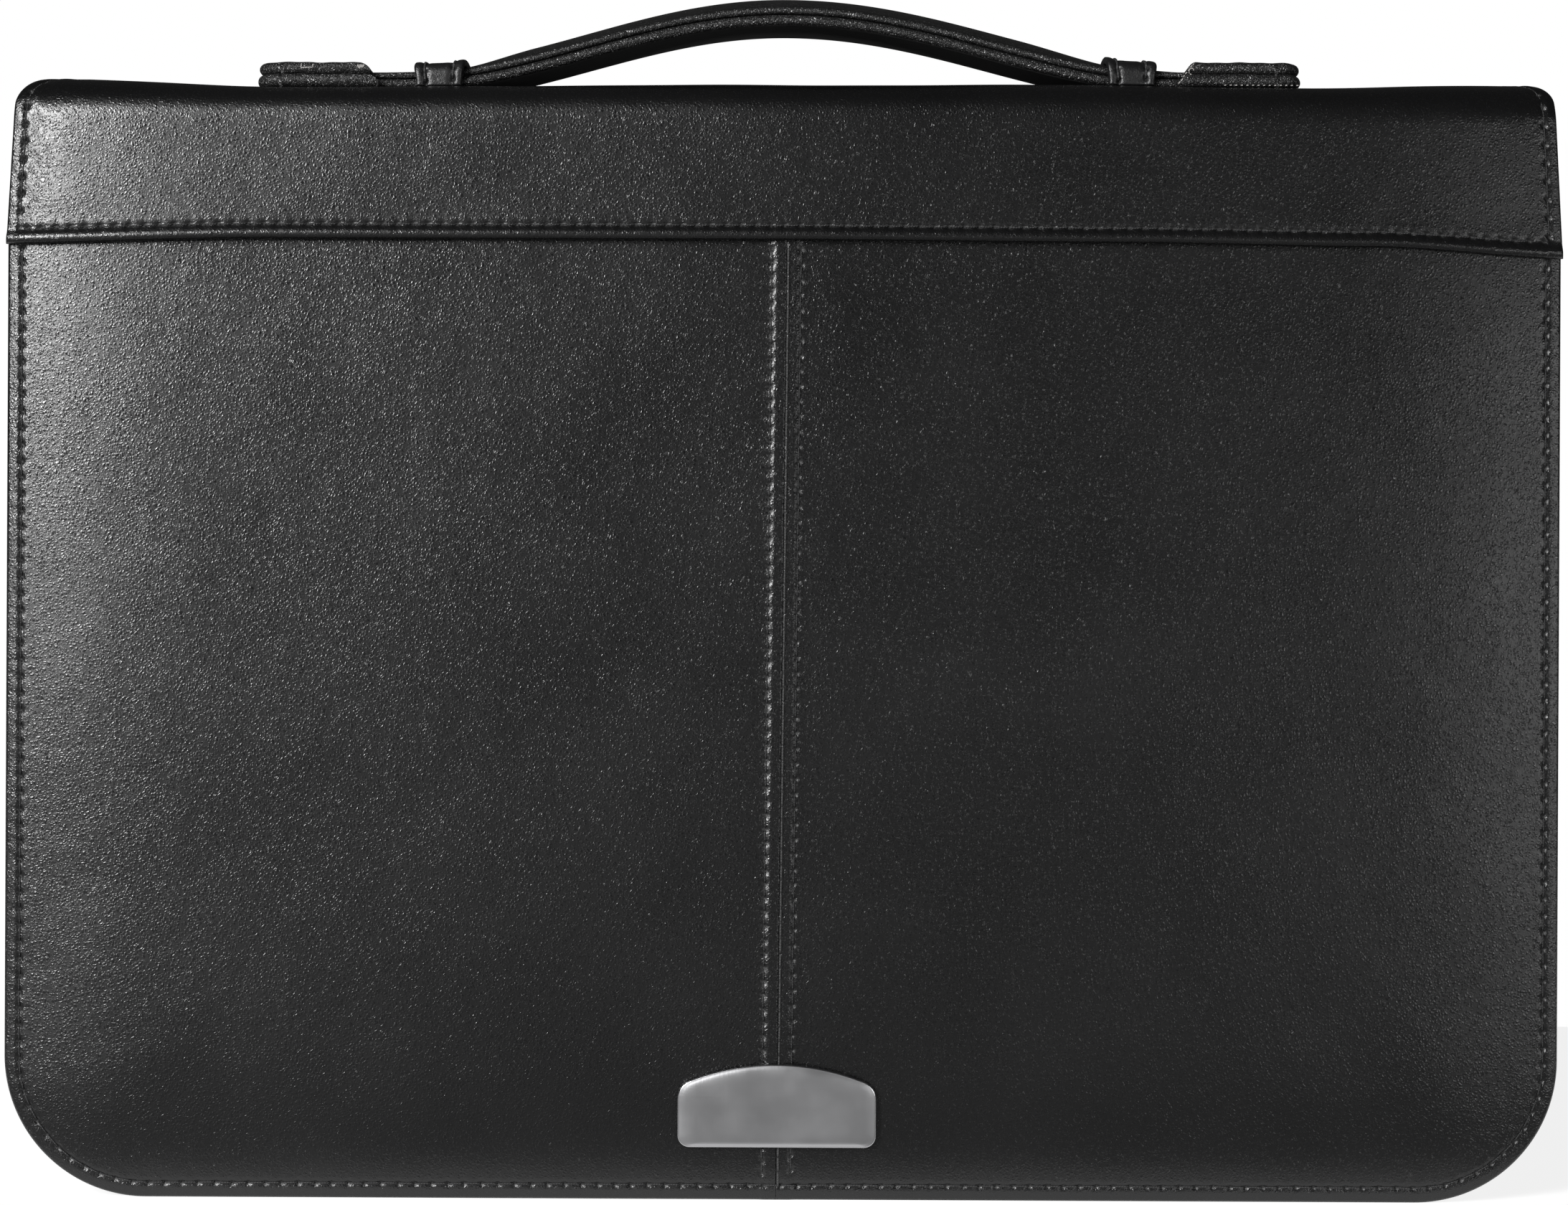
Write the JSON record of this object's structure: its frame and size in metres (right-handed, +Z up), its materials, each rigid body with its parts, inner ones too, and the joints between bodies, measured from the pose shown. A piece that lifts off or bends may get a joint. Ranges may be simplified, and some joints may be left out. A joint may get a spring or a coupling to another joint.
{
  "type": "leather document case",
  "caption": "Flat zip-round leather document case with a stitched spine band, a half-raised carrying handle and a bare metal name plate.",
  "frame": {"origin": "on the floor under the middle of the case, which stands on the lower edges of its covers", "axes": "+X to the right as the front is seen, +Y to the back, +Z up to the spine and the handle"},
  "size_m": [0.361, 0.0458, 0.2816],
  "materials": {
    "cover_leather": "fine-grained black leather, half gloss",
    "spine_leather": "fine-grained black leather, half gloss",
    "handle_leather": "thick black leather, glossy on its edges",
    "zip_cloth": "black woven tape",
    "zip_coil": "black nylon coil",
    "zip_metal": "black enamelled metal",
    "plate_metal": "satin nickel"
  },
  "bodies": {
    "root": {"front_panel_left": "cover_leather", "front_panel_right": "cover_leather", "back_panel": "cover_leather", "spine_yoke": "spine_leather", "zip_tape_front": "zip_cloth", "zip_tape_back": "zip_cloth", "zip_chain": "zip_coil", "zip_slider": "zip_metal", "name_plate": "plate_metal", "handle_strip_upper": "handle_leather", "handle_strip_lower": "handle_leather", "handle_end_left": "handle_leather", "handle_end_right": "handle_leather", "handle_keeper_left": "handle_leather", "handle_keeper_right": "handle_leather"}
  },
  "joints": []
}
